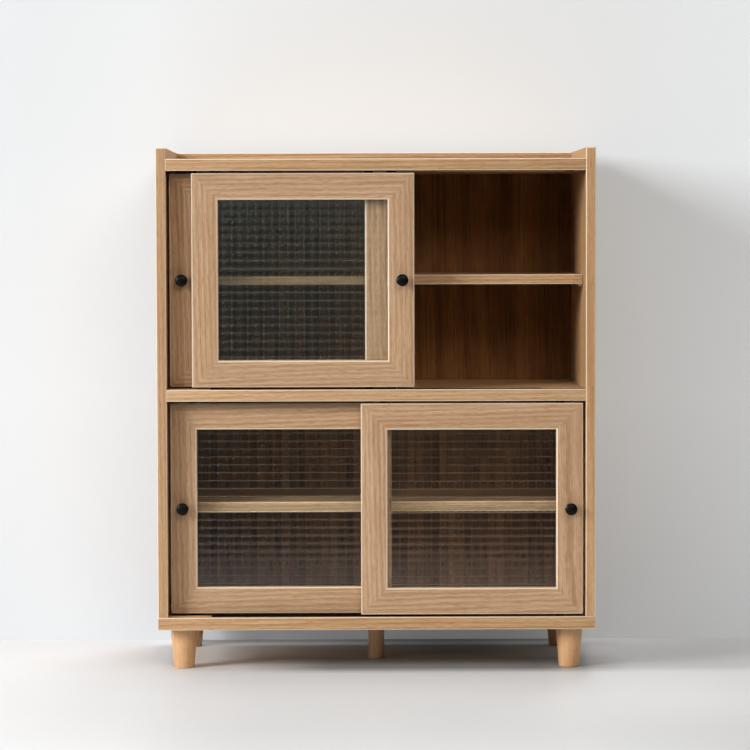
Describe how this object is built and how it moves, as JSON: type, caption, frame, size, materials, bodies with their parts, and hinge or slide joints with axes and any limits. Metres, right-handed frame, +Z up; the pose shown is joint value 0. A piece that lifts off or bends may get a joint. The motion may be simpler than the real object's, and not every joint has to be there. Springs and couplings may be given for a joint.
{
  "type": "mizuya kitchen cabinet",
  "caption": "Low oak-laminate kitchen cabinet on turned legs, with two tiers of checker-glass sliding doors and loose shelves.",
  "frame": {"origin": "middle of the overall footprint, on the floor", "axes": "+Z up, -Y is the front with the doors and knobs, +X to the right as seen from the front"},
  "size_m": [0.75, 0.365, 0.895],
  "materials": {
    "carcase_oak": "satin oak-grain laminate",
    "shelf_oak": "satin oak-grain laminate",
    "door_oak": "satin oak-grain wrap, mitred",
    "stop_oak": "satin oak-grain laminate",
    "turned_wood": "clear satin lacquer",
    "dowel_wood": "bare",
    "back_board": "printed hardboard",
    "checker_glass": "pressed checker relief",
    "black_knob": "satin black",
    "steel_fastener": "zinc plated",
    "nylon_glide": "natural nylon",
    "track_plastic": "dark extruded plastic",
    "cap_plastic": "brown moulded plastic"
  },
  "bodies": {
    "cabinet": {"side_panel_left": "carcase_oak", "side_panel_right": "carcase_oak", "top_board": "carcase_oak", "middle_board": "carcase_oak", "bottom_board": "carcase_oak", "gallery_rail": "carcase_oak", "upper_back_panel": "back_board", "lower_back_panel": "back_board", "lower_sill_track": "track_plastic", "lower_head_track": "track_plastic", "upper_sill_track": "track_plastic", "upper_head_track": "track_plastic", "door_stops": "stop_oak", "front_left_leg": "turned_wood", "front_right_leg": "turned_wood", "rear_left_leg": "turned_wood", "rear_right_leg": "turned_wood", "centre_leg": "turned_wood", "leg_hanger_bolts": "steel_fastener", "cam_discs": "steel_fastener", "cam_caps": "cap_plastic", "cam_bolts": "steel_fastener", "wood_dowels": "dowel_wood", "shelf_pins": "steel_fastener"},
    "upper_shelf": {"upper_shelf": "shelf_oak"},
    "lower_shelf": {"lower_shelf": "shelf_oak"},
    "upper_front_door": {"upper_front_left_stile": "door_oak", "upper_front_right_stile": "door_oak", "upper_front_top_rail": "door_oak", "upper_front_bottom_rail": "door_oak", "upper_front_glass": "checker_glass", "upper_front_knob": "black_knob", "upper_front_knob_screw": "steel_fastener", "upper_front_glides": "nylon_glide"},
    "upper_rear_door": {"upper_rear_left_stile": "door_oak", "upper_rear_right_stile": "door_oak", "upper_rear_top_rail": "door_oak", "upper_rear_bottom_rail": "door_oak", "upper_rear_glass": "checker_glass", "upper_rear_knob": "black_knob", "upper_rear_knob_screw": "steel_fastener", "upper_rear_glides": "nylon_glide"},
    "lower_front_door": {"lower_front_left_stile": "door_oak", "lower_front_right_stile": "door_oak", "lower_front_top_rail": "door_oak", "lower_front_bottom_rail": "door_oak", "lower_front_glass": "checker_glass", "lower_front_knob": "black_knob", "lower_front_knob_screw": "steel_fastener", "lower_front_glides": "nylon_glide"},
    "lower_rear_door": {"lower_rear_left_stile": "door_oak", "lower_rear_right_stile": "door_oak", "lower_rear_top_rail": "door_oak", "lower_rear_bottom_rail": "door_oak", "lower_rear_glass": "checker_glass", "lower_rear_knob": "black_knob", "lower_rear_knob_screw": "steel_fastener", "lower_rear_glides": "nylon_glide"}
  },
  "joints": [
    {"name": "upper_front_slide", "type": "slide", "parent": "cabinet", "child": "upper_front_door", "axis": [1, 0, 0], "range_m": [0, 0.2882]},
    {"name": "upper_rear_slide", "type": "slide", "parent": "cabinet", "child": "upper_rear_door", "axis": [1, 0, 0], "range_m": [0, 0.007]},
    {"name": "lower_front_slide", "type": "slide", "parent": "cabinet", "child": "lower_front_door", "axis": [1, 0, 0], "range_m": [-0.2882, 0]},
    {"name": "lower_rear_slide", "type": "slide", "parent": "cabinet", "child": "lower_rear_door", "axis": [1, 0, 0], "range_m": [0, 0.2882]},
    {"name": "upper_shelf_lift", "type": "slide", "parent": "cabinet", "child": "upper_shelf", "axis": [0, 0, 1], "range_m": [0, 0.032]},
    {"name": "lower_shelf_lift", "type": "slide", "parent": "cabinet", "child": "lower_shelf", "axis": [0, 0, 1], "range_m": [0, 0.032]}
  ]
}
